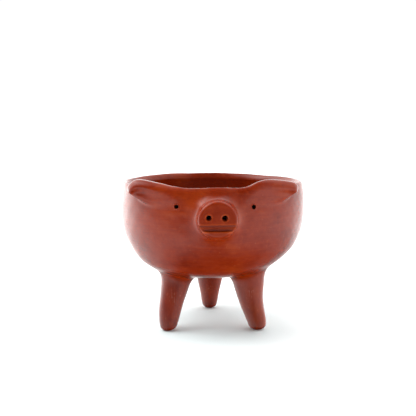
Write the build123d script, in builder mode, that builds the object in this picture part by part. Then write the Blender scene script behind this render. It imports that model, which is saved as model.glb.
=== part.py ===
"""Molcajete: a three-legged burnished red clay bowl in the form of a pig.

The bowl is a thick turned-looking shell with an inturned rounded rim. Everything else is a
separate piece of clay luted on to it: a disc snout with two nostrils and a mouth slit, two
flap ears at the front of the rim, three tapered legs on a circle, and a curled tail at the
back. Each luted piece is cut to the bowl's outer skin, so it meets the bowl face to face.

Frame, in millimetres: +Z up, the feet stand on Z = 0, the snout points along -Y, and the
origin is under the centre of the overall box. The bowl's own axis is at Y = AXIS_Y.
"""

from build123d import *
import math
import os

os.makedirs("parts", exist_ok=True)

# ---------------------------------------------------------------- driving dimensions (mm)
AXIS_Y = 3.85           # bowl axis from the origin, so that the overall box is centred
RIM_Z = 120.5           # top of the rim above the floor
BELLY_R = 75.0          # largest outer radius of the bowl
BASE_Z = 43.0           # underside of the bowl
FLOOR_Z = 49.7          # lowest point of the inside
RIM_R = 71.3            # radius of the rim's crown

# outer skin (radius, height) from the axis up to the rim
OUTER = [(0, BASE_Z), (16, 43.35), (31, 45.1), (43, 48.2), (54.2, 53.6), (66.3, 66.2),
         (73.1, 82.0), (BELLY_R, 99.0), (74.9, 108.0), (74.0, 115.6)]
# inner skin (radius, height) from the rim down to the axis
INNER = [(67.9, 115.2), (68.6, 107.0), (68.4, 98.0), (65.8, 82.5), (58.0, 68.6), (46.0, 58.4),
         (32.0, 52.4), (16, 50.2), (0, FLOOR_Z)]

SNOUT_Z = 99.0          # height of the snout's centre
SNOUT_R = 13.8          # radius of the snout's disc
SNOUT_FACE = 88.0       # snout's flat face, from the bowl's axis
SNOUT_EDGE = 2.6        # rounding of the disc's edge
SNOUT_FLARE_R = 18.4    # radius of the flared root, where it is buried in the wall
SNOUT_NECK = 79.4       # where the flare starts, from the bowl's axis
SNOUT_ROOT = 71.0       # where the flare ends, inside the wall
NOSTRILS = ((-6.4, 101.2), (4.8, 101.0))     # (x, height): a little left of the middle
NOSTRIL_R, NOSTRIL_DEPTH = 2.0, 7.5
MOUTH_TOP, MOUTH_BOTTOM = 96.2, 91.3
MOUTH_DEPTH = 3.4

EYES = ((-22.6, 107.1), (20.8, 106.7))       # (bearing from the snout in degrees, height)
EYE_R, EYE_DEPTH = 1.6, 4.2

# ears: (x, distance of the mid-plane in front of the axis, lowest z, highest z, half thickness)
# they start buried in the crown of the rim and leave it as the rim curves away
EAR_LEFT = [(25.0, 67.2, 113.5, 119.9, 1.7), (33.0, 64.2, 109.8, 122.4, 3.3),
            (42.0, 60.0, 107.6, 124.5, 4.3), (51.0, 56.0, 108.2, 125.5, 4.7),
            (58.0, 53.2, 111.2, 125.2, 4.5), (62.6, 51.4, 114.2, 123.0, 3.2),
            (65.0, 50.4, 116.8, 120.6, 1.4)]
EAR_RIGHT = [(20.0, 68.9, 113.8, 119.2, 1.5), (26.5, 66.6, 110.4, 122.3, 2.6),
             (33.0, 64.2, 109.2, 125.0, 3.4), (42.0, 60.0, 108.4, 125.5, 4.3),
             (51.0, 56.0, 109.8, 124.6, 4.6), (57.5, 53.4, 112.6, 123.2, 3.9),
             (61.8, 51.6, 116.6, 121.4, 1.7)]

FOOT_RING = 41.6        # the feet stand on this circle
SOLE_EDGE = 2.6
# legs: (height, distance from the axis, radius)
LEG_LEFT = [(0, 42.2, 5.9), (5, 41.6, 7.35), (13, 40.7, 8.8), (28, 37.3, 10.6), (40, 34.3, 12.3),
            (56, 31.0, 15.0)]
LEG_RIGHT = [(0, 41.9, 6.4), (5, 41.3, 7.7), (13, 38.9, 8.9), (28, 34.9, 11.0), (40, 33.4, 13.2),
             (56, 31.0, 15.5)]
LEG_REAR = [(0, 41.6, 5.8), (5, 41.0, 7.0), (13, 39.6, 8.3), (28, 36.4, 11.3), (40, 33.6, 13.3),
            (56, 31.0, 15.5)]

TAIL_Z = 96.0           # centre of the tail's curl
TAIL_LOOP_R = 6.2
TAIL_R = 3.0
TAIL_Y = 77.3           # distance of the tail's centreline from the axis

AXIS = (0, AXIS_Y, 0)
FRONT_PLANE = Plane(origin=AXIS, x_dir=(1, 0, 0), z_dir=(0, -1, 0))   # x right, y up, looking from the front


def profile_lines(top_cap):
    """The bowl's section in the X-Z plane: outer skin, rim, inner skin or a flat lid."""
    outer = Spline(*OUTER, tangents=[(1, 0), (-0.18, 1)])
    rim = ThreePointArc(outer @ 1, (RIM_R, RIM_Z), INNER[0])
    if top_cap:
        lid = Line(rim @ 1, (0, INNER[0][1]))
        Line(lid @ 1, outer @ 0)
    else:
        inner = Spline(*INNER, tangents=[(0.18, -1), (-1, 0)])
        Line(inner @ 1, outer @ 0)


# ---------------------------------------------------------------- bowl shell
with BuildPart() as bowl:
    with BuildSketch(FRONT_PLANE) as section:
        with BuildLine():
            profile_lines(False)
        make_face()
    revolve(axis=Axis(AXIS, (0, 0, 1)))
    # eye pricks: blind, slightly conical, pressed in square to the wall
    for bearing, height in EYES:
        a = math.radians(bearing)
        out = Vector(math.sin(a), -math.cos(a), 0)
        mouth = Vector(AXIS) + out * (BELLY_R + 2.0) + Vector(0, 0, height)
        with Locations(Plane(origin=mouth, z_dir=-out)):
            Cone(EYE_R * 1.25, EYE_R * 0.55, 2.0 + EYE_DEPTH,
                 align=(Align.CENTER, Align.CENTER, Align.MIN), mode=Mode.SUBTRACT)
bowl.part.label = "bowl"

# the bowl's outer skin filled in, used to trim what is luted on to it
with BuildPart() as filled:
    with BuildSketch(FRONT_PLANE) as filled_section:
        with BuildLine():
            profile_lines(True)
        make_face()
    revolve(axis=Axis(AXIS, (0, 0, 1)))


# ---------------------------------------------------------------- legs
def make_leg(label, stations, bearing):
    """A tapered leg: circles at rising heights, joined smoothly, then cut to the bowl's skin."""
    a = math.radians(bearing)
    way = Vector(math.sin(a), -math.cos(a), 0)
    with BuildPart() as leg:
        for height, reach, radius in stations:
            with BuildSketch(Plane(origin=Vector(AXIS) + way * reach + Vector(0, 0, height))):
                Circle(radius)
        loft()
        fillet(leg.edges().group_by(Axis.Z)[0], radius=SOLE_EDGE)
        add(filled.part, mode=Mode.SUBTRACT)
    leg.part.label = label
    return leg


leg_front_left = make_leg("leg_front_left", LEG_LEFT, -60)
leg_front_right = make_leg("leg_front_right", LEG_RIGHT, 60)
leg_rear = make_leg("leg_rear", LEG_REAR, 180)

# ---------------------------------------------------------------- snout
with BuildPart() as snout:
    with BuildSketch(Plane.XY) as snout_section:
        with BuildLine():
            # the side runs straight back from the disc, then flares out tangentially into the wall
            flare = TangentArc((SNOUT_R, -SNOUT_NECK), (SNOUT_FLARE_R, -SNOUT_ROOT), tangent=(0, 1))
            Polyline((SNOUT_FLARE_R, -SNOUT_ROOT), (SNOUT_FLARE_R, -SNOUT_ROOT + 3.0),
                     (0, -SNOUT_ROOT + 3.0), (0, -SNOUT_FACE), (SNOUT_R, -SNOUT_FACE),
                     (SNOUT_R, -SNOUT_NECK))
        make_face()
    revolve(axis=Axis.Y)
    fillet(snout.edges().sort_by(Axis.Y)[0], radius=SNOUT_EDGE)
snout_body = snout.part.moved(Location((0, AXIS_Y, SNOUT_Z)))

with BuildPart() as snout:
    add(snout_body)
    # nostrils: two round conical pricks
    with Locations(*[Plane(origin=(x, AXIS_Y - SNOUT_FACE - 1.0, height), z_dir=(0, 1, 0))
                     for x, height in NOSTRILS]):
        Cone(NOSTRIL_R * 1.12, NOSTRIL_R * 0.6, NOSTRIL_DEPTH + 1.0,
             align=(Align.CENTER, Align.CENTER, Align.MIN), mode=Mode.SUBTRACT)
    # mouth: a tapering slit cut right across the disc
    with BuildSketch(Plane(origin=(0, AXIS_Y, 0), x_dir=(0, 1, 0), z_dir=(1, 0, 0))) as mouth_section:
        with BuildLine():
            face = -(SNOUT_FACE + 1.0)
            back = -(SNOUT_FACE - MOUTH_DEPTH)
            Polyline((face, MOUTH_TOP + 0.2), (face, MOUTH_BOTTOM - 0.4), (back, MOUTH_BOTTOM + 0.7),
                     (back, MOUTH_TOP - 0.7), (face, MOUTH_TOP + 0.2))
        make_face()
    extrude(amount=SNOUT_FLARE_R + 2, both=True, mode=Mode.SUBTRACT)
    add(filled.part, mode=Mode.SUBTRACT)
snout.part.label = "snout"


# ---------------------------------------------------------------- ears
def make_ear(label, side, stations):
    """A thick leaf-shaped flap across the front of the rim: ellipses square to X, root to tip."""
    with BuildPart() as ear:
        for x, back, low_z, high_z, half_thick in stations:
            with BuildSketch(Plane(origin=(side * x, AXIS_Y - back, (low_z + high_z) / 2),
                                   x_dir=(0, -1, 0), z_dir=(side, 0, 0))):
                Ellipse(half_thick, (high_z - low_z) / 2)
        loft()
        add(filled.part, mode=Mode.SUBTRACT)
    ear.part.label = label
    return ear


ear_left = make_ear("ear_left", -1, EAR_LEFT)
ear_right = make_ear("ear_right", 1, EAR_RIGHT)

# ---------------------------------------------------------------- tail
with BuildPart() as tail:
    # a round coil of clay bent into an open loop and pressed on to the back of the bowl
    back_plane = Plane(origin=(0, AXIS_Y + TAIL_Y, TAIL_Z), x_dir=(-1, 0, 0), z_dir=(0, 1, 0))
    with BuildLine(back_plane) as route:
        loop = CenterArc((0, 0), TAIL_LOOP_R, 100, 250)
        lead = JernArc(loop @ 1, loop % 1, TAIL_LOOP_R * 2.4, 55)
    with BuildSketch(Plane(origin=route.line @ 0, z_dir=route.line % 0)):
        Circle(TAIL_R)
    sweep(path=route.line)
    fillet(tail.faces().filter_by(GeomType.PLANE).edges(), radius=TAIL_R * 0.5)
    add(filled.part, mode=Mode.SUBTRACT)
tail.part.label = "tail"

pieces = [bowl, snout, ear_left, ear_right, leg_front_left, leg_front_right, leg_rear, tail]
low = [1e9] * 3
high = [-1e9] * 3
for piece in pieces:
    export_step(piece.part, f"parts/{piece.part.label}.step")
    box = piece.part.bounding_box()
    low = [min(a, b) for a, b in zip(low, box.min)]
    high = [max(a, b) for a, b in zip(high, box.max)]
    print(piece.part.label, len(piece.part.solids()), round(piece.part.volume), box)
print("overall", [round(v, 2) for v in low], [round(v, 2) for v in high],
      "centre", [round((a + b) / 2, 3) for a, b in zip(low, high)])
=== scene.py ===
"""Looks of the pig molcajete: burnished red clay, hand built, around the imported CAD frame.

The clay is described as one smooth solid (a signed distance in millimetres) in which every luted
piece flows into the bowl through a smeared joint. It is then meshed piece by piece, each piece a
closed body cut at its joint, so that the assembly keeps its named pieces and shows no seam.
"""
import math

import bpy
import numpy as np
from mathutils import Matrix, Vector


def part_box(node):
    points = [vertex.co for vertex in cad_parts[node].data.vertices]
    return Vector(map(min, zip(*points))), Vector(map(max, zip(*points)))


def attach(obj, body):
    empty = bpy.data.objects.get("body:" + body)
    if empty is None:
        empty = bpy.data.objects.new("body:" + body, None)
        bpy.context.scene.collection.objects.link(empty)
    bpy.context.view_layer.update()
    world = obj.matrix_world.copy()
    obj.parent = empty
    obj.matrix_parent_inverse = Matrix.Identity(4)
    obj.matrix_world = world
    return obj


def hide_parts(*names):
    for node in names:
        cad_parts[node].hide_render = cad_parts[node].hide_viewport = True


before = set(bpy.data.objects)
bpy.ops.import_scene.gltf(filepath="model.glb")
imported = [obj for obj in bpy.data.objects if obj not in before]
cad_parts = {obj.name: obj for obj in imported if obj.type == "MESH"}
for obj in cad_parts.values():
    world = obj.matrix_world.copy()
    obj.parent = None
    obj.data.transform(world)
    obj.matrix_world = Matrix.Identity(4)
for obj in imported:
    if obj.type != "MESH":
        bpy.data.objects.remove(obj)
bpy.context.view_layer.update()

MM = 0.001

# the bowl's axis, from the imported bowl: it is a body of revolution apart from the eye pricks
_lo, _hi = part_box("bowl")
AXIS_Y = (_lo.y + _hi.y) / 2 / MM


# ------------------------------------------------------------------ small numeric helpers
def smoothstep(a, b, x):
    t = np.clip((x - a) / (b - a), 0, 1)
    return t * t * (3 - 2 * t)


def smin(a, b, k):
    """Smooth union: blends over a width k on each side of the crease."""
    h = np.maximum(k - np.abs(a - b), 0) / k
    return np.minimum(a, b) - h * h * h * k / 6


def smax(a, b, k):
    return -smin(-a, -b, k)


def spline(points, count, start=None, end=None):
    """A smooth curve through the points (cubic, by chord length), as count points."""
    p = np.array(points, float)
    m = len(p)
    h = np.sqrt((np.diff(p, axis=0) ** 2).sum(1))
    t = np.r_[0, np.cumsum(h)]
    a = np.zeros((m, m))
    b = np.zeros((m, p.shape[1]))
    for i in range(1, m - 1):
        a[i, i - 1], a[i, i], a[i, i + 1] = 1 / h[i - 1], 2 * (1 / h[i - 1] + 1 / h[i]), 1 / h[i]
        b[i] = 3 * ((p[i] - p[i - 1]) / h[i - 1] ** 2 + (p[i + 1] - p[i]) / h[i] ** 2)
    if start is None:
        a[0, 0], a[0, 1], b[0] = 2, 1, 3 * (p[1] - p[0]) / h[0]
    else:
        a[0, 0], b[0] = 1, np.array(start, float) / np.linalg.norm(start)
    if end is None:
        a[-1, -1], a[-1, -2], b[-1] = 2, 1, 3 * (p[-1] - p[-2]) / h[-1]
    else:
        a[-1, -1], b[-1] = 1, np.array(end, float) / np.linalg.norm(end)
    d = np.linalg.solve(a, b)
    s = np.linspace(0, t[-1], count)
    i = np.clip(np.searchsorted(t, s, side="right") - 1, 0, m - 2)
    u = ((s - t[i]) / h[i])[:, None]
    hh = h[i][:, None]
    return ((2 * u ** 3 - 3 * u ** 2 + 1) * p[i] + (u ** 3 - 2 * u ** 2 + u) * hh * d[i]
            + (-2 * u ** 3 + 3 * u ** 2) * p[i + 1] + (u ** 3 - u ** 2) * hh * d[i + 1])


def closed_spline(points, count):
    """A smooth closed outline through the points."""
    p = np.array(points, float)
    wrapped = np.vstack([p[-3:], p, p[:3]])
    fine = spline(wrapped, count * (len(wrapped) - 1) // len(p))
    # keep the stretch from p[0] round to p[0] again
    i0 = np.argmin(((fine - p[0]) ** 2).sum(1)[: len(fine) // 2])
    i1 = len(fine) // 2 + np.argmin(((fine - p[0]) ** 2).sum(1)[len(fine) // 2:])
    return fine[i0:i1]


class Field2:
    """Signed distance to a closed 2-D outline, tabulated and read back with cubic interpolation."""

    def __init__(self, outline, lo, hi, step, skip_axis=False):
        self.lo, self.step = np.array(lo, float), step
        n = [int(round((b - a) / step)) + 1 for a, b in zip(lo, hi)]
        xs = lo[0] + step * np.arange(n[0])
        ys = lo[1] + step * np.arange(n[1])
        a = np.array(outline, float)
        b = np.roll(a, -1, axis=0)
        table = np.zeros(n, np.float32)
        real = np.ones(len(a), bool)
        if skip_axis:            # stretches lying on the axis of revolution aren't walls
            real = ~((np.abs(a[:, 0]) < 1e-6) & (np.abs(b[:, 0]) < 1e-6))
        d = b - a
        dd = np.maximum((d ** 2).sum(1), 1e-12)
        for i, x in enumerate(xs):
            px, py = x - a[:, 0][None], ys[:, None] - a[:, 1][None]
            t = np.clip((px * d[:, 0] + py * d[:, 1]) / dd, 0, 1)
            q = (px - t * d[:, 0]) ** 2 + (py - t * d[:, 1]) ** 2
            dist = np.sqrt(q[:, real].min(1))
            up = (a[:, 1][None] > ys[:, None]) != (b[:, 1][None] > ys[:, None])
            with np.errstate(divide="ignore", invalid="ignore"):
                cross = a[:, 0] + (ys[:, None] - a[:, 1]) * d[:, 0] / d[:, 1]
            inside = ((up & (x < cross)).sum(1) % 2) == 1
            table[i] = np.where(inside, -dist, dist)
        self.table = table
        self.n = n

    def __call__(self, u, v):
        gu = np.clip((u - self.lo[0]) / self.step, 1.0, self.n[0] - 2.001)
        gv = np.clip((v - self.lo[1]) / self.step, 1.0, self.n[1] - 2.001)
        iu, iv = gu.astype(np.int64), gv.astype(np.int64)
        fu, fv = (gu - iu), (gv - iv)

        def weights(f):
            f2, f3 = f * f, f * f * f
            return (-0.5 * f3 + f2 - 0.5 * f, 1.5 * f3 - 2.5 * f2 + 1,
                    -1.5 * f3 + 2 * f2 + 0.5 * f, 0.5 * f3 - 0.5 * f2)

        wu, wv = weights(fu), weights(fv)
        flat = self.table.ravel()
        base = (iu - 1) * self.n[1] + (iv - 1)
        out = 0.0
        for i in range(4):
            row = 0.0
            for j in range(4):
                row = row + flat[base + i * self.n[1] + j] * wv[j]
            out = out + row * wu[i]
        # beyond the table the distance keeps growing
        out = out + np.maximum(0, v - (self.lo[1] + self.step * (self.n[1] - 2.001)))
        out = out + np.maximum(0, (self.lo[1] + self.step) - v)
        return out


# ------------------------------------------------------------------ the shape of the clay (mm)
# bowl frame: origin on the bowl's axis at floor level, x to the right seen from the front,
# y towards the back, z up; the snout points along -y
OUTER = [(0, 43.0), (16, 43.35), (31, 45.1), (43, 48.2), (54.2, 53.6), (66.3, 66.2), (73.1, 82.0),
         (75.0, 99.0), (74.9, 108.0), (74.0, 115.6)]
INNER = [(67.9, 115.2), (68.6, 107.0), (68.4, 98.0), (65.8, 82.5), (58.0, 68.6), (46.0, 58.4),
         (32.0, 52.4), (16, 50.2), (0, 49.7)]
CROWN = (71.3, 120.5)

outer_line = spline(OUTER, 260, start=(1, 0), end=(-0.18, 1))
rim_line = spline([OUTER[-1], (73.35, 118.6), CROWN, (69.1, 118.5), INNER[0]], 60,
                  start=(-0.12, 1), end=(-0.02, -1))
crown_at = int(np.argmax(rim_line[:, 1]))
inner_line = spline(INNER, 240, start=(0.18, -1), end=(-1, 0))

filled_outline = np.vstack([outer_line, rim_line[1:crown_at + 1],
                            [(0, rim_line[crown_at, 1])]])
cavity_outline = np.vstack([[(0, 150), (rim_line[crown_at, 0], 150)], rim_line[crown_at:-1],
                            inner_line])
FILLED = Field2(filled_outline, (-2, 28), (100, 142), 0.5, skip_axis=True)
CAVITY = Field2(cavity_outline, (-2, 36), (90, 142), 0.5, skip_axis=True)

EARS = {
    # outline in (|x|, z) and the distance of the ear's mid-surface in front of the bowl's axis
    "ear_left": [(26.5, 115.0), (31.5, 119.2), (38.0, 122.2), (45.2, 123.9), (53.0, 125.2),
                 (59.2, 124.8), (63.3, 122.0), (65.4, 118.2), (63.6, 114.6), (57.6, 110.6),
                 (51.3, 107.9), (44.0, 107.2), (35.5, 108.6), (28.5, 111.4)],
    "ear_right": [(19.0, 114.8), (22.4, 118.8), (25.6, 121.6), (29.0, 123.8), (33.0, 125.2),
                  (38.0, 125.8), (43.6, 125.4), (49.7, 124.6), (55.6, 123.5), (60.0, 121.9),
                  (62.0, 118.9), (61.0, 115.6), (55.8, 111.9), (49.5, 109.4), (42.0, 108.6),
                  (33.0, 109.4), (23.5, 111.4)],
}
EAR_FIELD = {name: Field2(closed_spline(line, 300), (8, 92), (80, 140), 0.4)
             for name, line in EARS.items()}
EAR_BACK = spline([(18, 69.6), (25, 67.2), (33, 64.0), (42, 59.3), (51, 54.9), (58, 51.8), (66, 48.6)], 200)
EAR_HALF = spline([(18, 1.6), (25, 2.4), (33, 3.3), (42, 4.2), (51, 4.6), (58, 4.5), (66, 4.0)], 200)
EAR_TOP = {name: spline([p for i, p in enumerate(line) if i == 0 or p[1] >= 117.5], 200)
           for name, line in EARS.items()}

LEGS = {   # (height, distance from the axis, radius), bearing from the snout in degrees
    "leg_front_left": ([(0, 42.2, 5.9), (5, 41.6, 7.35), (13, 40.7, 8.8), (28, 37.3, 10.6),
                        (40, 34.3, 12.3), (56, 31.0, 15.0)], -60.0),
    "leg_front_right": ([(0, 41.9, 6.4), (5, 41.3, 7.7), (13, 38.9, 8.9), (28, 34.9, 11.0),
                         (40, 33.4, 13.2), (56, 31.0, 15.5)], 60.0),
    "leg_rear": ([(0, 41.6, 5.8), (5, 41.0, 7.0), (13, 39.6, 8.3), (28, 36.4, 11.3),
                  (40, 33.6, 13.3), (56, 31.0, 15.5)], 180.0),
}
LEG_TABLE = {name: (spline(stations, 400), math.radians(bearing))
             for name, (stations, bearing) in LEGS.items()}
LEG_BLEND = 11.0

SNOUT_Z, SNOUT_R, SNOUT_FACE = 99.0, 13.8, 88.0
NOSTRILS = ((-6.45, 101.2, 1.95), (4.75, 101.0, 2.08))
MOUTH_TOP, MOUTH_BOTTOM, MOUTH_BACK = 96.2, 91.3, 84.7
EYES = ((-22.6, 107.1), (20.8, 106.7))       # bearing in degrees, height
EYE_R, EYE_DEPTH = 1.62, 3.9

# tail: a loop against the back, in the plane of the wall, seen from behind
TAIL_Z, TAIL_LOOP = 96.0, 6.2


def tail_path():
    pts = []
    for i in range(41):
        a = math.radians(100 + 250 * i / 40)
        pts.append((TAIL_LOOP * math.cos(a), TAIL_LOOP * math.sin(a)))
    ux, uy = pts[-1]
    a = math.radians(350)
    big = TAIL_LOOP * 2.4
    cx, cy = ux - big * math.cos(a), uy - big * math.sin(a)
    for i in range(1, 21):
        b = a + math.radians(55) * i / 20
        pts.append((cx + big * math.cos(b), cy + big * math.sin(b)))
    pts = np.array(pts)
    s = np.r_[0, np.cumsum(np.sqrt((np.diff(pts, axis=0) ** 2).sum(1)))]
    s /= s[-1]
    lift = 77.0 + 1.1 * np.sin(np.pi * np.clip(s * 1.15, 0, 1)) - 0.9 * smoothstep(0.75, 1, s)
    lift = lift - 1.6 * (1 - smoothstep(0, 0.12, s))
    radius = 3.15 - 1.1 * smoothstep(0.35, 1.0, s)
    return np.c_[-pts[:, 0], lift, TAIL_Z + pts[:, 1], radius]


TAIL = tail_path()


def wobble(x, y, z, r):
    """How far hand building puts the bowl's wall out of true: (outwards, upwards)."""
    a = np.arctan2(x, -y)
    near = smoothstep(8, 40, r)
    out = (0.30 * np.sin(2 * a + 0.7) + 0.22 * np.sin(3 * a + 2.3 + 0.012 * z)
           + 0.12 * np.sin(5 * a - 0.05 * z + 1.0) + 0.07 * np.sin(9 * a + 0.09 * z))
    up = (0.25 * np.sin(2 * a + 1.2) + 0.22 * np.sin(3 * a + 3.9) + 0.14 * np.sin(7 * a + 0.4)
          + 0.08 * np.sin(12 * a + 1.9))
    # low down the right side is tucked in more than the left
    low = 1 - smoothstep(52, 72, z)
    out = out - 2.3 * low * x / np.maximum(r, 20)
    return out * near, up * smoothstep(85, 120, z) * near


def dents(x, y, z):
    """The soft unevenness left by fingers and the burnishing stone."""
    return (0.055 * np.sin(0.21 * x + 0.13 * z + 1.0) * np.sin(0.27 * z - 0.11 * y + 0.5)
            + 0.05 * np.sin(0.33 * y + 0.19 * z) * np.sin(0.29 * x - 0.17 * z + 2.0)
            + 0.03 * np.sin(0.61 * x + 0.35 * y + 0.4) * np.sin(0.73 * z + 0.2 * x))


def d_filled(p):
    """Distance to the bowl's outer skin with its hollow filled level with the rim."""
    x, y, z = p[:, 0], p[:, 1], p[:, 2]
    r = np.sqrt(x * x + y * y)
    out, up = wobble(x, y, z, r)
    return FILLED(r - out, z - up) + dents(x, y, z)


def d_cavity(p):
    x, y, z = p[:, 0], p[:, 1], p[:, 2]
    r = np.sqrt(x * x + y * y)
    out, up = wobble(x, y, z, r)
    return CAVITY(r - out * 1.2, z - up) + 1.3 * dents(y, x, z)


def d_leg(p, name):
    table, bearing = LEG_TABLE[name]
    x, y, z = p[:, 0], p[:, 1], p[:, 2]
    reach = np.interp(z, table[:, 0], table[:, 1])
    radius = np.interp(z, table[:, 0], table[:, 2])
    cx, cy = math.sin(bearing) * reach, -math.cos(bearing) * reach
    dx, dy = x - cx, y - cy
    q = np.sqrt(dx * dx + dy * dy)
    side = (q - radius) * 0.975
    edge = 3.6
    w1, w2 = side + edge, -z + edge
    d = (np.minimum(np.maximum(w1, w2), 0)
         + np.sqrt(np.maximum(w1, 0) ** 2 + np.maximum(w2, 0) ** 2) - edge)
    return d + 0.6 * dents(y + 40, z, x + bearing * 9) * smoothstep(3, 12, z)


def d_ear(p, name):
    side = -1.0 if name == "ear_left" else 1.0
    x, y, z = p[:, 0] * side, p[:, 1], p[:, 2]
    mid = -np.interp(x, EAR_BACK[:, 0], EAR_BACK[:, 1])
    half = np.interp(x, EAR_HALF[:, 0], EAR_HALF[:, 1])
    mid = mid - 0.08 * (z - 117)                    # leans a little forward at the top
    outline = EAR_FIELD[name](x, z)
    # a thick rolled upper edge stands forward of a cupped face, which ends in a thinner lower lip
    top = EAR_TOP[name]
    drop = np.interp(x, top[:, 0], top[:, 1]) - z
    far = smoothstep(34, 50, x)
    roll = (0.8 + 1.1 * far) * np.exp(-((drop - 5.6) / np.where(drop < 5.6, 3.1, 4.8)) ** 2)
    cup = 1.4 * far * np.exp(-((x - 57.5) / 9.0) ** 2 - ((drop - 9.0) / 2.6) ** 2)
    t = y - mid
    across = np.where(t < 0, -t - half - roll + cup, t - half)
    edge = np.minimum(half - 0.3, 3.6)
    w1, w2 = outline + edge, across + edge
    return (np.minimum(np.maximum(w1, w2), 0)
            + np.sqrt(np.maximum(w1, 0) ** 2 + np.maximum(w2, 0) ** 2) - edge)


def d_snout(p):
    x, y, z = p[:, 0], p[:, 1], p[:, 2]
    q = np.sqrt((x * 0.985) ** 2 + (z - SNOUT_Z) ** 2)
    upper = smoothstep(92.5, 96.0, z)
    back = np.maximum(0, y + 82.5)
    radius = 13.7 + (SNOUT_R - 13.7) * upper + (0.042 - 0.022 * smoothstep(100, 112, z)) * back * back
    face = 86.7 + (SNOUT_FACE - 86.7) * upper - 0.0020 * q * q
    edge = 3.6 + (2.1 - 3.6) * upper
    w1, w2 = q - radius + edge, -y - face + edge
    return (np.minimum(np.maximum(w1, w2), 0)
            + np.sqrt(np.maximum(w1, 0) ** 2 + np.maximum(w2, 0) ** 2) - edge)


def d_mouth(p):
    x, y, z = p[:, 0], p[:, 1], p[:, 2]
    depth = np.clip(SNOUT_FACE + y, -2, 8)
    top = MOUTH_TOP - 0.05 * depth - 0.0006 * x * x + 0.008 * x
    bottom = MOUTH_BOTTOM + 0.16 * depth + 0.0010 * x * x
    return np.maximum(np.maximum(z - top, bottom - z), y + MOUTH_BACK)


def d_nostrils(p):
    out = None
    for nx, nz, nr in NOSTRILS:
        depth = SNOUT_FACE + p[:, 1]
        lean = 0.10 * depth
        q = np.sqrt((p[:, 0] - nx) ** 2 + (p[:, 2] - nz - lean) ** 2)
        d = np.maximum(q - (nr - 0.12 * np.clip(depth, -1, 8)), depth - 7.0)
        out = d if out is None else np.minimum(out, d)
    return out


def d_tail(p):
    best = np.full(len(p), 1e9)
    a, b = TAIL[:-1], TAIL[1:]
    for (ax, ay, az, ar), (bx, by, bz, br) in zip(a, b):
        ux, uy, uz = bx - ax, by - ay, bz - az
        px, py, pz = p[:, 0] - ax, p[:, 1] - ay, p[:, 2] - az
        t = np.clip((px * ux + py * uy + pz * uz) / (ux * ux + uy * uy + uz * uz), 0, 1)
        d = np.sqrt((px - t * ux) ** 2 + (py - t * uy) ** 2 + (pz - t * uz) ** 2) - (ar + (br - ar) * t)
        best = np.minimum(best, d)
    return best


# where each luted piece can matter: (lowest corner, highest corner)
REGION = {
    "leg_front_left": ((-66, -48, -4), (-6, 12, 64)),
    "leg_front_right": ((6, -48, -4), (66, 12, 64)),
    "leg_rear": ((-30, 8, -4), (30, 68, 64)),
    "ear_left": ((-74, -78, 96), (-12, -42, 136)),
    "ear_right": ((12, -78, 96), (74, -42, 136)),
    "snout": ((-30, -98, 70), (30, -58, 128)),
    "tail": ((-20, 60, 78), (20, 92, 118)),
}


def within(p, name, grow=0.0):
    lo, hi = REGION[name]
    return np.all((p > np.array(lo) - grow) & (p < np.array(hi) + grow), axis=1)


PARTS = ("leg_front_left", "leg_front_right", "leg_rear", "snout", "tail", "ear_left", "ear_right")
BLEND = {"snout": 6.0, "tail": 2.6}      # width of the smeared joints


def clay(p):
    """Distances to the whole clay surface, to the bowl's filled outer skin and to the nearest luted piece."""
    filled = d_filled(p)
    f = filled.copy()
    part = np.full(len(p), 60.0)
    ears = []
    for name in PARTS:
        m = within(p, name)
        if not m.any():
            continue
        q = p[m]
        if name.startswith("leg"):
            d, k = d_leg(q, name), LEG_BLEND
        elif name == "snout":
            d, k = d_snout(q), BLEND[name] + 7.5 * smoothstep(99, 110, q[:, 2])
        elif name == "tail":
            d, k = d_tail(q), BLEND[name]
        else:
            d = d_ear(q, name)
            ears.append((m, d, np.interp(np.abs(q[:, 0]), (30, 54), (8.0, 3.2))))
        part[m] = np.minimum(part[m], d)
        if not name.startswith("ear"):
            f[m] = smin(f[m], d, k)
    f = smax(f, -d_cavity(p), 1.2)
    for m, d, k in ears:
        f[m] = smin(f[m], d, k)
    m = within(p, "snout")
    if m.any():
        f[m] = smax(f[m], -d_mouth(p[m]), 1.0)
        f[m] = smax(f[m], -d_nostrils(p[m]), 0.9)
    return f, filled, part


def both(p, keep_bowl):
    """Clay distance and joint distance for the bowl (inside the joint) or a luted piece.

    Under a luted piece the joint is the bowl's own skin; in the smear round it, where both
    surfaces are covered, it runs half-way between the two, square to the smear's surface."""
    f, filled, part = clay(p)
    g = 0.7 * (filled - smax(part, np.zeros_like(part), 0.8))
    return f, (g if keep_bowl else -g)


def chunked(fn, p, size=400000):
    parts = [fn(p[i:i + size]) for i in range(0, len(p), size)]
    return [np.concatenate(x) for x in zip(*parts)]


TETRA = np.array([(1, -1, -1), (-1, -1, 1), (-1, 1, -1), (1, 1, 1)], float)


def value_and_slope(p, keep_bowl, e=0.04):
    """F, G and their gradients."""
    f, g = chunked(lambda q: both(q, keep_bowl), p)
    gf, gg = np.zeros_like(p), np.zeros_like(p)
    for k in TETRA:
        a, b = chunked(lambda q: both(q, keep_bowl), p + e * k)
        gf += a[:, None] * k
        gg += b[:, None] * k
    return f, g, gf / (4 * e), gg / (4 * e)


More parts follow.
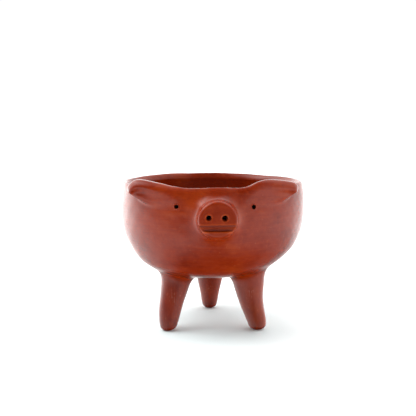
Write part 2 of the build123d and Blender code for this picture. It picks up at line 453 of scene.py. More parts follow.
# ------------------------------------------------------------------ meshing
def sheet_table():
    """For each pattern of inside corners of a cell: which sheet of surface each cut edge belongs to.

    Corner (i, j, k) is bit 4i + 2j + k, and an edge is 4 * axis + 2 * c1 + c2, where c1 and c2 are
    its place along the two axes after its own."""
    def corner(c):
        return 4 * c[0] + 2 * c[1] + c[2]

    def edge(c, d):
        ax = next(i for i in range(3) if c[i] != d[i])
        return 4 * ax + 2 * c[(ax + 1) % 3] + c[(ax + 2) % 3]

    faces = []
    for ax in range(3):
        for side in (0, 1):
            ring = []
            for u, w in ((0, 0), (1, 0), (1, 1), (0, 1)):
                c = [0, 0, 0]
                c[ax], c[(ax + 1) % 3], c[(ax + 2) % 3] = side, u, w
                ring.append(tuple(c))
            faces.append(ring)
    table = np.zeros((256, 12), np.int64)
    for pattern in range(256):
        root = list(range(12))

        def find(e):
            while root[e] != e:
                e = root[e]
            return e

        cut = set()
        for ring in faces:
            inside = [bool(pattern >> corner(c) & 1) for c in ring]
            es = [edge(ring[i], ring[(i + 1) % 4]) for i in range(4)]
            hit = [i for i in range(4) if inside[i] != inside[(i + 1) % 4]]
            cut |= {es[i] for i in hit}
            if len(hit) == 2:
                root[find(es[hit[0]])] = find(es[hit[1]])
            elif len(hit) == 4:
                for i in range(4):
                    if inside[i]:
                        root[find(es[i - 1])] = find(es[i])
        names = sorted({find(e) for e in cut})
        for e in cut:
            table[pattern, e] = names.index(find(e))
    return table


SHEETS = sheet_table()


def surface_net(name, lo, hi, h):
    """Quads of the piece: clay on its own side of the joint, inside the box lo-hi."""
    keep_bowl = name == "bowl"
    block = 6
    lo = np.array(lo, float)
    blocks = np.ceil((np.array(hi, float) - lo) / (h * block)).astype(int)
    n = blocks * block + 1
    centres = np.stack(np.meshgrid(*[lo[i] + h * block * (np.arange(blocks[i]) + 0.5) for i in range(3)],
                                   indexing="ij"), -1).reshape(-1, 3)
    f, g = chunked(lambda q: both(q, keep_bowl), centres)
    s = np.maximum(f, g).reshape(blocks)
    reach = h * block * math.sqrt(3) / 2 * 1.35 + 0.3
    active = np.abs(s) < reach
    F = np.empty(n, np.float32)
    G = np.empty(n, np.float32)
    mask = np.zeros(n, bool)
    fill = np.where(s > 0, 50.0, -50.0).astype(np.float32)
    ix = [np.minimum(np.arange(n[i]) // block, blocks[i] - 1) for i in range(3)]
    F[:] = fill[np.ix_(*ix)]
    G[:] = -50.0
    for dx in (0, 1):
        for dy in (0, 1):
            for dz in (0, 1):
                jx = [np.clip((np.arange(n[i]) - d) // block, 0, blocks[i] - 1)
                      for i, d in enumerate((dx, dy, dz))]
                mask |= active[np.ix_(*jx)]
    idx = np.argwhere(mask)
    pts = lo + h * idx
    f, g = chunked(lambda q: both(q, keep_bowl), pts)
    F[mask], G[mask] = f, g
    S = np.maximum(F, G)
    inside = S < 0
    strides = np.array([n[1] * n[2], n[2], 1])
    pattern = np.zeros(n - 1, np.int64)
    for i in (0, 1):
        for j in (0, 1):
            for k in (0, 1):
                pattern += inside[i:n[0] - 1 + i, j:n[1] - 1 + j, k:n[2] - 1 + k].astype(np.int64) << (4 * i + 2 * j + k)
    cells_all, weight_all, kind_all, quads = [], [], [], []
    for ax in range(3):
        a = [slice(None)] * 3
        b = [slice(None)] * 3
        a[ax], b[ax] = slice(0, -1), slice(1, None)
        change = inside[tuple(a)] != inside[tuple(b)]
        e = np.argwhere(change)
        o1, o2 = (ax + 1) % 3, (ax + 2) % 3
        ok = (e[:, o1] > 0) & (e[:, o2] > 0) & (e[:, o1] < n[o1] - 1) & (e[:, o2] < n[o2] - 1)
        e = e[ok]
        e2 = e.copy()
        e2[:, ax] += 1
        sa, sb = S[tuple(e.T)], S[tuple(e2.T)]
        t = np.clip(sa / (sa - sb), 0.02, 0.98)
        fa, fb = F[tuple(e.T)], F[tuple(e2.T)]
        ga, gb = G[tuple(e.T)], G[tuple(e2.T)]
        is_joint = (ga + (gb - ga) * t) > (fa + (fb - fa) * t)
        cross = e.astype(float)
        cross[:, ax] += t
        corner = []
        for d1, d2 in ((0, 0), (-1, 0), (-1, -1), (0, -1)):
            c = e.copy()
            c[:, o1] += d1
            c[:, o2] += d2
            cid = (c @ strides) * 4 + SHEETS[pattern[tuple(c.T)], 4 * ax - 2 * d1 - d2]
            corner.append(cid)
            cells_all.append(cid)
            weight_all.append(cross)
            kind_all.append(is_joint)
        q = np.stack(corner, 1)
        flip = sa > 0           # outside at the low end: the normal points to the low end
        q[flip] = q[flip][:, ::-1]
        quads.append(q)
    cells = np.concatenate(cells_all)
    cross = np.concatenate(weight_all)
    kind = np.concatenate(kind_all)
    quads = np.concatenate(quads)
    uniq, inv = np.unique(cells, return_inverse=True)
    count = np.bincount(inv, minlength=len(uniq)).astype(float)
    v = np.stack([np.bincount(inv, weights=cross[:, i], minlength=len(uniq)) / count for i in range(3)], 1)
    joints = np.bincount(inv, weights=kind.astype(float), minlength=len(uniq))
    vkind = np.where(joints == 0, 0, np.where(joints >= count - 0.5, 1, 2))   # 0 skin, 1 cut face, 2 the cut's edge
    quads = np.searchsorted(uniq, quads)
    return lo + h * v, quads, vkind


def neighbours(quads, n, mask_edges=None):
    e = np.vstack([quads[:, [0, 1]], quads[:, [1, 2]], quads[:, [2, 3]], quads[:, [3, 0]]])
    e = np.sort(e, axis=1)
    e = np.unique(e[:, 0].astype(np.int64) * n + e[:, 1])
    e = np.stack([e // n, e % n], 1)
    if mask_edges is not None:
        e = e[mask_edges(e)]
    return e


def project(v, vkind, keep_bowl, steps, limit):
    """Moves vertices on to the clay, the joint's cut or, on the cut's edge, both."""
    for _ in range(steps):
        f, g, gf, gg = value_and_slope(v, keep_bowl)
        ff = (gf ** 2).sum(1) + 1e-9
        g2 = (gg ** 2).sum(1) + 1e-9
        move = np.zeros_like(v)
        m = vkind == 0
        move[m] = -(f / ff)[m, None] * gf[m]
        m = vkind == 1
        move[m] = -(g / g2)[m, None] * gg[m]
        m = vkind == 2
        fg = (gf * gg).sum(1)
        det = np.maximum(ff * g2 - fg * fg, 0.02 * ff * g2)
        a = (g2 * f - fg * g) / det
        b = (ff * g - fg * f) / det
        move[m] = -(a[:, None] * gf + b[:, None] * gg)[m]
        size = np.sqrt((move ** 2).sum(1))
        move *= np.minimum(1, limit / np.maximum(size, 1e-9))[:, None]
        v = v + move
    return v


def build_piece(name, lo, hi, h, rounds=6):
    keep_bowl = name == "bowl"
    v, quads, vkind = surface_net(name, lo, hi, h)
    # keep the largest connected body: the box may graze a neighbouring piece
    parent = np.arange(len(v))
    e = neighbours(quads, len(v))
    for _ in range(200):
        low = np.minimum(parent[e[:, 0]], parent[e[:, 1]])
        before = parent.copy()
        np.minimum.at(parent, e[:, 0], low)
        np.minimum.at(parent, e[:, 1], low)
        parent = parent[parent]
        if (parent == before).all():
            break
    labels, sizes = np.unique(parent, return_counts=True)
    keep = parent == labels[np.argmax(sizes)]
    if not keep.all():
        new = np.cumsum(keep) - 1
        quads = new[quads[keep[quads].all(1)]]
        v, vkind = v[keep], vkind[keep]
        e = neighbours(quads, len(v))
    v = project(v, vkind, keep_bowl, 3, h * 0.8)
    same_edge = (vkind[e[:, 0]] == 2) & (vkind[e[:, 1]] == 2)
    ring = e[same_edge]
    deg = np.bincount(e.ravel(), minlength=len(v)).astype(float)
    rdeg = np.bincount(ring.ravel(), minlength=len(v)).astype(float)
    for r in range(rounds):
        avg = np.zeros_like(v)
        np.add.at(avg, e[:, 0], v[e[:, 1]])
        np.add.at(avg, e[:, 1], v[e[:, 0]])
        avg /= np.maximum(deg, 1)[:, None]
        m = vkind == 2
        if m.any():
            ravg = np.zeros_like(v)
            np.add.at(ravg, ring[:, 0], v[ring[:, 1]])
            np.add.at(ravg, ring[:, 1], v[ring[:, 0]])
            ravg /= np.maximum(rdeg, 1)[:, None]
            good = m & (rdeg >= 2)
            avg[good] = ravg[good]
            avg[m & ~good] = v[m & ~good]
        v = v + 0.6 * (avg - v)
        v = project(v, vkind, keep_bowl, 1, h * 0.6)
    v = project(v, vkind, keep_bowl, 2, h * 0.4)
    return v, quads, vkind


def edge_report(quads, n):
    e = np.vstack([quads[:, [0, 1]], quads[:, [1, 2]], quads[:, [2, 3]], quads[:, [3, 0]]])
    e = np.sort(e, axis=1)
    _, c = np.unique(e[:, 0].astype(np.int64) * n + e[:, 1], return_counts=True)
    return int((c != 2).sum())


# ------------------------------------------------------------------ build the pieces
BOXES = {   # piece: (low corner, high corner, spacing)
    "bowl": ((-78, -84, 39), (78, 80, 126), 1.12),
    "snout": ((-24, -91, 78), (24, -68, 120), 0.40),
    "ear_left": ((-68, -72, 100), (-14, -48, 129), 0.42),
    "ear_right": ((14, -72, 100), (68, -48, 129), 0.42),
    "leg_front_left": ((-58, -44, -1.5), (-10, 10, 56), 0.55),
    "leg_front_right": ((10, -44, -1.5), (58, 10, 56), 0.55),
    "leg_rear": ((-26, 12, -1.5), (26, 64, 56), 0.55),
    "tail": ((-14, 72, 82), (14, 84, 114), 0.36),
}


def refine(v, tris, marked):
    """Splits the marked triangles in four, and their neighbours to fit. Returns vertices, triangles."""
    n = len(v)
    ea = np.stack([tris[:, [0, 1]], tris[:, [1, 2]], tris[:, [2, 0]]], 1)
    key = np.sort(ea, axis=2)
    key = key[..., 0].astype(np.int64) * n + key[..., 1]
    cut = np.unique(key[marked])
    mid = np.stack([cut // n, cut % n], 1)
    v = np.vstack([v, (v[mid[:, 0]] + v[mid[:, 1]]) / 2])
    pos = np.clip(np.searchsorted(cut, key), 0, len(cut) - 1)
    m = np.where(cut[pos] == key, n + pos, -1)
    out = []
    cnt = (m >= 0).sum(1)
    out.append(tris[cnt == 0])
    for t, mm in zip(tris[cnt > 0], m[cnt > 0]):
        a, b, c = t
        ab, bc, ca = mm
        k = (mm >= 0).sum()
        if k == 3:
            out.append([(a, ab, ca), (ab, b, bc), (ca, bc, c), (ab, bc, ca)])
        elif k == 1:
            if ab >= 0:
                out.append([(a, ab, c), (ab, b, c)])
            elif bc >= 0:
                out.append([(b, bc, a), (bc, c, a)])
            else:
                out.append([(c, ca, b), (ca, a, b)])
        else:
            if ab < 0:
                out.append([(c, ca, bc), (ca, a, b), (ca, b, bc)])
            elif bc < 0:
                out.append([(a, ab, ca), (ab, b, c), (ab, c, ca)])
            else:
                out.append([(b, bc, ab), (bc, c, a), (bc, a, ab)])
    return v, np.vstack([np.array(o, int).reshape(-1, 3) for o in out if len(o)])


def prick_eyes(v, quads, vkind):
    """The eyes: blind holes pressed into the finished wall, with a slightly raised lip."""
    axes = []
    for bearing, height in EYES:
        a = math.radians(bearing)
        out = np.array([math.sin(a), -math.cos(a), 0.0])
        start = np.array([[0, 0, height]]) + out * 75.0
        start = project(start, np.zeros(1, int), True, 4, 1.0)
        axes.append((start[0], out))
    centre = v[quads].mean(1)
    near = np.zeros(len(quads), bool)
    for c, _ in axes:
        near |= ((centre - c) ** 2).sum(1) < 9.0 ** 2
    q = quads[near]
    tris = np.vstack([q[:, [0, 1, 2]], q[:, [0, 2, 3]]])
    quads = quads[~near]
    for radius in (6.0, 4.0, 2.9):
        tc = v[tris].mean(1)
        mark = np.zeros(len(tris), bool)
        for c, _ in axes:
            mark |= ((tc - c) ** 2).sum(1) < radius ** 2
        n0 = len(v)
        v, tris = refine(v, tris, mark)
        v[n0:] = project(v[n0:], np.zeros(len(v) - n0, int), True, 2, 0.3)
    moved = np.zeros(len(v), bool)
    for k, (c, out) in enumerate(axes):
        side = np.cross([0, 0, 1.0], out)
        rel = v - c
        a, b = rel @ side, rel @ np.array([0, 0, 1.0])
        depth = rel @ out
        m = (np.abs(depth) < 2.5) & (a * a + b * b < 4.5 ** 2)
        ang = np.arctan2(b[m], a[m])
        # not quite round, as a stick leaves it
        rr = np.sqrt(a[m] ** 2 + b[m] ** 2) / (1 + 0.05 * np.sin(2 * ang + 1 + 2 * k) + 0.03 * np.sin(3 * ang + k))
        inside = 1 - smoothstep(EYE_R - 0.42, EYE_R + 0.10, rr)
        floor = 1 - 0.35 * (rr / EYE_R) ** 2
        lip = 0.13 * np.exp(-((rr - EYE_R - 0.35) / 0.35) ** 2)
        v[m] += out * (lip - EYE_DEPTH * inside * np.clip(floor, 0.3, 1))[:, None]
        moved[np.where(m)[0][rr < 4.0]] = True
    kinds = np.zeros(len(v), int)
    kinds[:len(vkind)] = vkind
    return v, quads, tris, kinds, moved


def mesh_normals(v, faces3):
    n = np.cross(v[faces3[:, 1]] - v[faces3[:, 0]], v[faces3[:, 2]] - v[faces3[:, 0]])
    out = np.zeros_like(v)
    for i in range(3):
        np.add.at(out, faces3[:, i], n)
    return out / np.maximum(np.sqrt((out ** 2).sum(1)), 1e-12)[:, None]


def piece_data(name):
    """Everything about a piece that comes from the clay itself: its mesh, normals, and the crease and edge measures
    behind the painted shade in creases and the worn, partly painted-highlight edges.
    """
    low, high, spacing = BOXES[name]
    keep_bowl = name == "bowl"
    v, quads, vkind = build_piece(name, low, high, spacing)
    tris, moved = np.zeros((0, 3), int), np.zeros(len(v), bool)
    if keep_bowl:
        v, quads, tris, vkind, moved = prick_eyes(v, quads, vkind)
    f, g, gf, gg = value_and_slope(v, keep_bowl, e=0.03)
    nf = gf / np.maximum(np.sqrt((gf ** 2).sum(1)), 1e-9)[:, None]
    ng = gg / np.maximum(np.sqrt((gg ** 2).sum(1)), 1e-9)[:, None]
    if moved.any():
        mn = mesh_normals(v, np.vstack([quads[:, [0, 1, 2]], quads[:, [0, 2, 3]], tris]))
        nf[moved] = mn[moved]
    # how closed-in and how sharp the clay is at each point, for the painted shade in creases and the colour of worn
    # edges, which is partly a painted highlight
    hollow = np.zeros(len(v))
    sharp = np.zeros(len(v))
    skin = vkind != 1
    reach = chunked(lambda q: clay(q), v[skin] + nf[skin] * 3.0)[0]
    hollow[skin] = 1 - np.clip(reach / 3.0, 0, 1)
    reach = chunked(lambda q: clay(q), v[skin] - nf[skin] * 1.6)[0]
    sharp[skin] = 1 - np.clip(-reach / 1.6, 0, 1)
    # the inside of each pricked eye hole counts as fully closed-in, so its colour is painted near black as painted
    # shade
    hollow[moved & (f < -0.5)] = 1.0
    sharp[moved] = 0
    filled = chunked(lambda q: (d_filled(q),), v)[0]
    leg = smoothstep(-1.0, 9.0, filled) * (1 - smoothstep(52, 62, v[:, 2]))
    # faces of the hidden cut, against faces of the skin
    caps = []
    for arr in (quads, tris):
        kinds = vkind[arr]
        cap = (kinds == 1).any(1)
        undecided = (kinds == 2).all(1)
        if undecided.any():
            w = arr[undecided]
            fn = np.cross(v[w[:, 1]] - v[w[:, 0]], v[w[:, 2]] - v[w[:, 0]])
            cap[undecided] = (fn * ng[w].mean(1)).sum(1) > (fn * nf[w].mean(1)).sum(1)
        caps.append(cap)
    print("piece", name, "vertices", len(v), "faces", len(quads) + len(tris), "cut faces", int(sum(c.sum() for c in caps)),
          "open edges", edge_report(quads, len(v)) if not len(tris) else "-",
          "worst distance", round(float(np.abs(f[(vkind == 0) & ~moved]).max()), 4), flush=True)
    return dict(v=v, quads=quads, tris=tris, nf=nf, ng=ng, hollow=hollow, sharp=sharp, leg=leg,
                cap_quads=caps[0], cap_tris=caps[1])


def make_object(name, d, material):
    loops = np.concatenate([d["quads"].ravel(), d["tris"].ravel()])
    starts = np.concatenate([4 * np.arange(len(d["quads"])), 4 * len(d["quads"]) + 3 * np.arange(len(d["tris"]))])
    loop_cap = np.concatenate([np.repeat(d["cap_quads"], 4), np.repeat(d["cap_tris"], 3)])
    normals = np.where(loop_cap[:, None], d["ng"][loops], d["nf"][loops])
    me = bpy.data.meshes.new(name)
    me.vertices.add(len(d["v"]))
    co = d["v"].copy()
    co[:, 1] += AXIS_Y
    me.vertices.foreach_set("co", (co * MM).astype(np.float32).ravel())
    me.loops.add(len(loops))
    me.loops.foreach_set("vertex_index", loops.astype(np.int32))
    me.polygons.add(len(starts))
    me.polygons.foreach_set("loop_start", starts.astype(np.int32))
    me.update(calc_edges=True)
    bad = me.validate(clean_customdata=False)
    me.polygons.foreach_set("use_smooth", np.ones(len(me.polygons), bool))
    if bad:
        print("piece", name, "had faces that Blender removed")
    else:
        me.normals_split_custom_set(normals.astype(np.float32).tolist())
    for label, data in (("clay_hollow", d["hollow"]), ("clay_sharp", d["sharp"]), ("clay_leg", d["leg"])):
        at = me.attributes.new(label, "FLOAT", "POINT")
        at.data.foreach_set("value", data.astype(np.float32))
    me.materials.append(material)
    ob = bpy.data.objects.new("clay_" + name, me)
    bpy.context.scene.collection.objects.link(ob)
    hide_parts(name)
    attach(ob, "root")
    return ob


# ------------------------------------------------------------------ burnished clay, in object coordinates
class Nodes:
    """A short hand for wiring shader nodes."""

    def __init__(self, tree):
        self.t = tree
        tree.nodes.clear()

    def add(self, kind, **props):
        node = self.t.nodes.new(kind)
        for key, value in props.items():
            setattr(node, key, value)
        return node

    def put(self, socket, value):
        if isinstance(value, bpy.types.NodeSocket):
            self.t.links.new(value, socket)
        elif value is not None:
            socket.default_value = value

    def math(self, op, a, b=None, c=None, clamp=False):
        node = self.add("ShaderNodeMath", operation=op, use_clamp=clamp)
        for i, value in enumerate((a, b, c)):
            if value is not None:
                self.put(node.inputs[i], value)
        return node.outputs[0]

    def xyz(self, x, y, z):
        node = self.add("ShaderNodeCombineXYZ")
        for i, value in enumerate((x, y, z)):
            self.put(node.inputs[i], value)
        return node.outputs[0]

    def noise(self, vector, scale, detail=2.0, rough=0.5, distortion=0.0):
        node = self.add("ShaderNodeTexNoise")
        self.put(node.inputs["Vector"], vector)
        node.inputs["Scale"].default_value = scale
        node.inputs["Detail"].default_value = detail
        node.inputs["Roughness"].default_value = rough
        node.inputs["Distortion"].default_value = distortion
        return node.outputs[0]

    def step(self, value, a, b, lo=0.0, hi=1.0, smooth=True):
        node = self.add("ShaderNodeMapRange", interpolation_type="SMOOTHSTEP" if smooth else "LINEAR")
        self.put(node.inputs[0], value)
        for i, x in enumerate((a, b, lo, hi)):
            self.put(node.inputs[i + 1], x)
        return node.outputs[0]

    def mix(self, factor, a, b, blend="MIX"):
        node = self.add("ShaderNodeMix", data_type="RGBA", blend_type=blend, clamp_factor=True)
        self.put(node.inputs[0], factor)
        self.put(node.inputs[6], a)
        self.put(node.inputs[7], b)
        return node.outputs[2]

    def attribute(self, name):
        return self.add("ShaderNodeAttribute", attribute_name=name).outputs["Fac"]


def clay_material():
    mat = bpy.data.materials.new("burnished_clay")
    mat.use_nodes = True
    n = Nodes(mat.node_tree)
    out = n.add("ShaderNodeOutputMaterial")
    bsdf = n.add("ShaderNodeBsdfPrincipled")
    n.t.links.new(bsdf.outputs[0], out.inputs[0])

    place = n.add("ShaderNodeTexCoord").outputs["Object"]
    sep = n.add("ShaderNodeSeparateXYZ")
    n.put(sep.inputs[0], place)
    x = n.math("MULTIPLY", sep.outputs[0], 1000.0)
    y = n.math("SUBTRACT", n.math("MULTIPLY", sep.outputs[1], 1000.0), AXIS_Y)
    z = n.math("MULTIPLY", sep.outputs[2], 1000.0)
    r = n.math("SQRT", n.math("ADD", n.math("MULTIPLY", x, x), n.math("MULTIPLY", y, y)))
    mm = n.xyz(x, y, z)

    leg = n.attribute("clay_leg")
    hollow = n.attribute("clay_hollow")
    sharp = n.attribute("clay_sharp")

    # strokes of the burnishing stone: nearly level round the bowl, and down the legs
    drift = n.math("MULTIPLY", n.math("SUBTRACT", n.noise(mm, 0.012, 1.0), 0.5), 9.0)
    along = n.math("ADD", n.math("ADD", z, n.math("MULTIPLY", r, 0.7)), drift)
    round_bowl = n.xyz(n.math("MULTIPLY", x, 0.055), n.math("MULTIPLY", y, 0.055), along)
    down_leg = n.xyz(x, y, n.math("MULTIPLY", z, 0.06))

    def strokes(scale, detail, rough):
        a = n.noise(round_bowl, scale, detail, rough)
        b = n.noise(down_leg, scale, detail, rough)
        return n.mix(leg, a, b)

    wide = strokes(0.16, 2.0, 0.5)          # facets some millimetres wide
    fine = strokes(0.95, 3.0, 0.6)          # single strokes
    hair = strokes(3.2, 2.0, 0.6)           # scratches
    cloud = n.noise(mm, 0.018, 2.0, 0.5)
    blotch = n.noise(mm, 0.06, 3.0, 0.6)
    mottle = n.noise(mm, 0.35, 3.0, 0.6)
    grain = n.noise(mm, 1.9, 3.0, 0.65)

    # the fired body: deep red, with browner and more orange clouds
    deep = (0.150, 0.0097, 0.0010, 1)
    mid = (0.220, 0.0172, 0.0012, 1)
    warm = (0.290, 0.0319, 0.0020, 1)
    tone = n.math("ADD", n.math("MULTIPLY", cloud, 0.45), n.math("MULTIPLY", blotch, 0.35))
    tone = n.math("ADD", tone, n.math("MULTIPLY", wide, 0.20))
    colour = n.mix(n.step(tone, 0.36, 0.52), deep, mid)
    colour = n.mix(n.step(tone, 0.50, 0.68), colour, warm)
    colour = n.mix(n.step(mottle, 0.52, 0.72, 0.0, 0.25), colour, (0.326, 0.0403, 0.0030, 1))
    colour = n.mix(n.step(mottle, 0.46, 0.28, 0.0, 0.25), colour, (0.123, 0.0074, 0.0010, 1))
    colour = n.mix(n.step(fine, 0.54, 0.74, 0.0, 0.20), colour, (0.343, 0.0454, 0.0030, 1))
    colour = n.mix(n.step(fine, 0.46, 0.28, 0.0, 0.24), colour, (0.114, 0.0067, 0.0010, 1))
    colour = n.mix(n.step(hair, 0.58, 0.74, 0.0, 0.10), colour, (0.378, 0.0638, 0.0080, 1))
    # grit: small pale and small dark specks, most of them near the feet
    vor = n.add("ShaderNodeTexVoronoi", feature="F1")
    n.put(vor.inputs["Vector"], mm)
    vor.inputs["Scale"].default_value = 0.42
    vor.inputs["Randomness"].default_value = 1.0
    speck = n.step(vor.outputs["Distance"], 0.17, 0.08)
    chance = n.add("ShaderNodeSeparateColor")
    n.put(chance.inputs[0], vor.outputs["Color"])
    pale = n.math("MULTIPLY", speck, n.step(chance.outputs[0], 0.84, 0.88))
    dark = n.math("MULTIPLY", speck, n.step(chance.outputs[1], 0.86, 0.90))
    low = n.step(z, 30.0, 4.0, 0.22, 1.0)
    colour = n.mix(n.math("MULTIPLY", n.math("MULTIPLY", pale, low), 0.70), colour, (0.620, 0.2300, 0.0900, 1))
    colour = n.mix(n.math("MULTIPLY", dark, 0.45), colour, (0.070, 0.0080, 0.0030, 1))
    # worn edges show a warmer body, lightened also as a painted highlight along the edges; creases are darkened as
    # painted shade and kept matt
    colour = n.mix(n.math("MULTIPLY", n.step(sharp, 0.10, 0.55), 0.40), colour, (0.440, 0.0640, 0.0040, 1))
    colour = n.mix(n.math("MULTIPLY", n.step(hollow, 0.25, 0.80), 0.55), colour, (0.165, 0.0100, 0.0010, 1))
    # the pricked eye holes and the tightest creases are painted near black: painted shade
    colour = n.mix(n.step(hollow, 0.93, 0.99), colour, (0.012, 0.0025, 0.0015, 1))
    n.put(bsdf.inputs["Base Color"], colour)

    rough = n.math("ADD", 0.175, n.math("MULTIPLY", n.math("SUBTRACT", fine, 0.5), 0.20))
    rough = n.math("ADD", rough, n.math("MULTIPLY", n.math("SUBTRACT", blotch, 0.5), 0.14))
    rough = n.math("ADD", rough, n.math("MULTIPLY", n.math("SUBTRACT", mottle, 0.5), 0.10))
    rough = n.math("ADD", rough, n.math("MULTIPLY", n.step(hollow, 0.3, 0.95), 0.35))
    rough = n.math("ADD", rough, n.math("MULTIPLY", leg, 0.05))
    rough = n.math("ADD", rough, n.step(z, 3.0, 0.2, 0.0, 0.3))
    n.put(bsdf.inputs["Roughness"], n.math("MINIMUM", n.math("MAXIMUM", rough, 0.13), 0.9))
    bsdf.inputs["IOR"].default_value = 1.5
    bsdf.inputs["Specular IOR Level"].default_value = 0.5

    height = n.math("ADD", n.math("MULTIPLY", wide, 1.0), n.math("MULTIPLY", fine, 0.22))
    height = n.math("ADD", height, n.math("MULTIPLY", hair, 0.035))
    height = n.math("ADD", height, n.math("MULTIPLY", grain, 0.05))
    height = n.math("ADD", height, n.math("MULTIPLY", mottle, 0.12))
    height = n.math("SUBTRACT", height, n.math("MULTIPLY", speck, n.math("MULTIPLY", n.step(chance.outputs[2], 0.8, 0.9), 0.35)))
    bump = n.add("ShaderNodeBump")
    bump.inputs["Strength"].default_value = 1.0
    bump.inputs["Distance"].default_value = 0.00026
    n.put(bump.inputs["Height"], height)
    n.put(bsdf.inputs["Normal"], bump.outputs[0])
    return mat


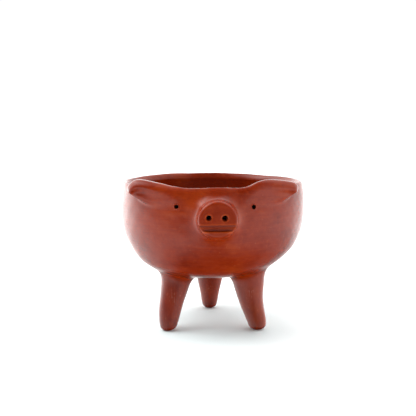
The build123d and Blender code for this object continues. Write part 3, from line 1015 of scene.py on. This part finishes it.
# ------------------------------------------------------------------ studio
def make_studio():
    scene = bpy.context.scene
    scene.view_settings.view_transform = "Standard"
    scene.view_settings.look = "None"
    scene.view_settings.exposure = 0.0
    scene.view_settings.gamma = 1.0

    # camera: the photograph's viewing angle, a little left of the snout and above the rim
    cam = bpy.data.cameras.new("camera")
    cam.lens = 53.9
    cam.sensor_width = 36.0
    cam.clip_start, cam.clip_end = 0.02, 50.0
    eye = bpy.data.objects.new("camera", cam)
    eye.location = (-0.0255, (-511.2 + AXIS_Y) * MM, 0.1648)
    eye.rotation_euler = (math.radians(90 - 7.57), 0, math.radians(-2.5))
    scene.collection.objects.link(eye)
    scene.camera = eye

    # floor: a large pale sheet
    me = bpy.data.meshes.new("floor")
    s = 6.0
    me.from_pydata([(-s, -s, 0), (s, -s, 0), (s, s, 0), (-s, s, 0)], [], [(0, 1, 2, 3)])
    floor = bpy.data.objects.new("floor", me)
    scene.collection.objects.link(floor)
    mat = bpy.data.materials.new("floor")
    mat.use_nodes = True
    b = mat.node_tree.nodes["Principled BSDF"]
    n = Nodes.__new__(Nodes)
    n.t = mat.node_tree
    where = n.add("ShaderNodeVectorMath", operation="LENGTH")
    n.put(where.inputs[0], n.add("ShaderNodeTexCoord").outputs["Object"])
    # near the bowl the floor is painted a cooler tint to cancel the red light the clay bounces on to it: painted
    # light
    near = n.step(where.outputs["Value"], 0.03, 0.12, 1.0, 0.0)
    n.put(b.inputs["Base Color"], n.mix(near, (0.94, 0.94, 0.94, 1), (0.825, 0.94, 0.945, 1)))
    b.inputs["Roughness"].default_value = 0.85
    b.inputs["Specular IOR Level"].default_value = 0.15
    me.materials.append(mat)

    # surroundings: an even white dome for light; what the burnish mirrors is a studio with a soft box
    # high on the left, a bright back, and the dark side where the photographer stands
    floor.visible_glossy = False
    world = bpy.data.worlds.new("studio")
    scene.world = world
    world.use_nodes = True
    world.cycles.sampling_method = "NONE"
    n = Nodes(world.node_tree)
    out = n.add("ShaderNodeOutputWorld")
    sep = n.add("ShaderNodeSeparateXYZ")
    n.put(sep.inputs[0], n.add("ShaderNodeTexCoord").outputs["Generated"])
    x, y, z = sep.outputs
    turn = n.math("ARCTAN2", x, n.math("MULTIPLY", y, -1.0))
    turn = n.math("MULTIPLY_ADD", turn, 0.5 / math.pi, 0.5)
    mirrored = None
    for i, (elevation, values) in enumerate(MIRRORED):
        ramp = n.add("ShaderNodeValToRGB")
        n.put(ramp.inputs[0], turn)
        ends = (values[0] + values[-1]) / 2
        stops = [(0.0, ends)] + [((15 + 30 * k) / 360, v) for k, v in enumerate(values)] + [(1.0, ends)]
        while len(ramp.color_ramp.elements) < len(stops):
            ramp.color_ramp.elements.new(0.5)
        for element, (place, value) in zip(ramp.color_ramp.elements, stops):
            element.position = place
            element.color = (value / 5, value / 5, value / 5, 1)
        if mirrored is None:
            mirrored = ramp.outputs[0]
        else:
            above = n.step(z, math.sin(math.radians(MIRRORED[i - 1][0])), math.sin(math.radians(elevation)), smooth=False)
            mirrored = n.mix(above, mirrored, ramp.outputs[0])
    around = n.math("ADD", n.step(y, -0.70, 0.40, 0.0, DOME["back"]), n.math("MULTIPLY", x, DOME["right"]))
    level = n.step(z, 0.12, 0.80, 1.0 + DOME["low"], 1.0)
    top = n.step(z, 0.60, 0.95, DOME["base"], DOME["base"] + DOME["top"])
    dome = n.math("MAXIMUM", n.math("MULTIPLY_ADD", around, level, top), 0.0)

    path = n.add("ShaderNodeLightPath")
    strength = n.math("MULTIPLY", mirrored, 5.0 * DOME["mirrored"])
    glossy = path.outputs["Is Glossy Ray"]
    seen = path.outputs["Is Camera Ray"]
    strength = n.math("ADD", n.math("MULTIPLY", glossy, strength), n.math("MULTIPLY", n.math("SUBTRACT", 1.0, glossy), dome))
    strength = n.math("ADD", n.math("MULTIPLY", seen, 1.05), n.math("MULTIPLY", n.math("SUBTRACT", 1.0, seen), strength))
    light = n.add("ShaderNodeBackground")
    light.inputs[0].default_value = (1, 1, 1, 1)
    n.put(light.inputs[1], strength)
    n.t.links.new(light.outputs[0], out.inputs[0])

    def area(name, place, target, width, height, power):
        data = bpy.data.lights.new(name, "AREA")
        data.shape = "RECTANGLE"
        data.size, data.size_y = width, height
        data.energy = power
        ob = bpy.data.objects.new(name, data)
        ob.location = place
        ob.rotation_euler = (Vector(target) - Vector(place)).to_track_quat("-Z", "Y").to_euler()
        ob.visible_glossy = False
        scene.collection.objects.link(ob)
        return ob

    for spec in LIGHTS:
        area(*spec)


DOME = {"base": 0.22, "back": 0.98, "right": 0.24, "low": 2.5, "top": 1.10, "mirrored": 0.97}
# brightness of what is mirrored: by height above the horizon in degrees, then all the way round in
# twelve steps from the back over the left, the front and the right
MIRRORED = [
    (-85, (.00, .00, .00, .00, .00, .00, .00, .00, .00, .00, .00, .00)),
    (-70, (.00, .00, .03, .06, .05, .02, .01, .01, .01, .00, .00, .00)),
    (-55, (.10, .36, .60, .55, .55, .22, .15, .28, .20, .12, .08, .06)),
    (-38, (.40, 1.2, 1.4, 1.14, 1.07, .85, .65, .72, .78, .64, .35, .20)),
    (-25, (1.2, 1.8, 1.8, 1.16, .90, .40, .30, 1.00, 1.06, 1.06, .93, .65)),
    (-14, (2.2, 3.4, 1.9, 1.08, .30, .10, .10, .90, 1.40, 1.35, 2.1, 1.6)),
    (-4, (2.5, 4.8, 2.0, .55, .20, .10, .12, .70, 1.0, 1.30, 2.1, 1.8)),
    (8, (2.4, 3.8, 1.6, .25, .12, .08, .18, .45, .50, .80, 1.6, 1.7)),
    (25, (1.6, 2.8, 1.6, .45, .10, .06, .03, .25, .60, 1.0, 1.5, 1.3)),
    (42, (1.5, 2.2, 4.2, 2.6, .20, .06, .02, .14, .70, .80, 1.2, 1.2)),
    (58, (1.4, 1.5, 2.2, 2.8, .16, .03, .01, .08, 1.3, 1.1, 1.8, 1.4)),
    (80, (.40, .40, .35, .30, .05, .00, .00, .04, .20, .40, .60, .45)),
]
LIGHTS = [
    ("key_left", (-1.20, -0.12, 1.55), (0, 0, 0.06), 1.1, 1.1, 21.0),
]

clay_mat = clay_material()
for piece in BOXES:
    make_object(piece, piece_data(piece), clay_mat)
make_studio()

bpy.context.view_layer.update()
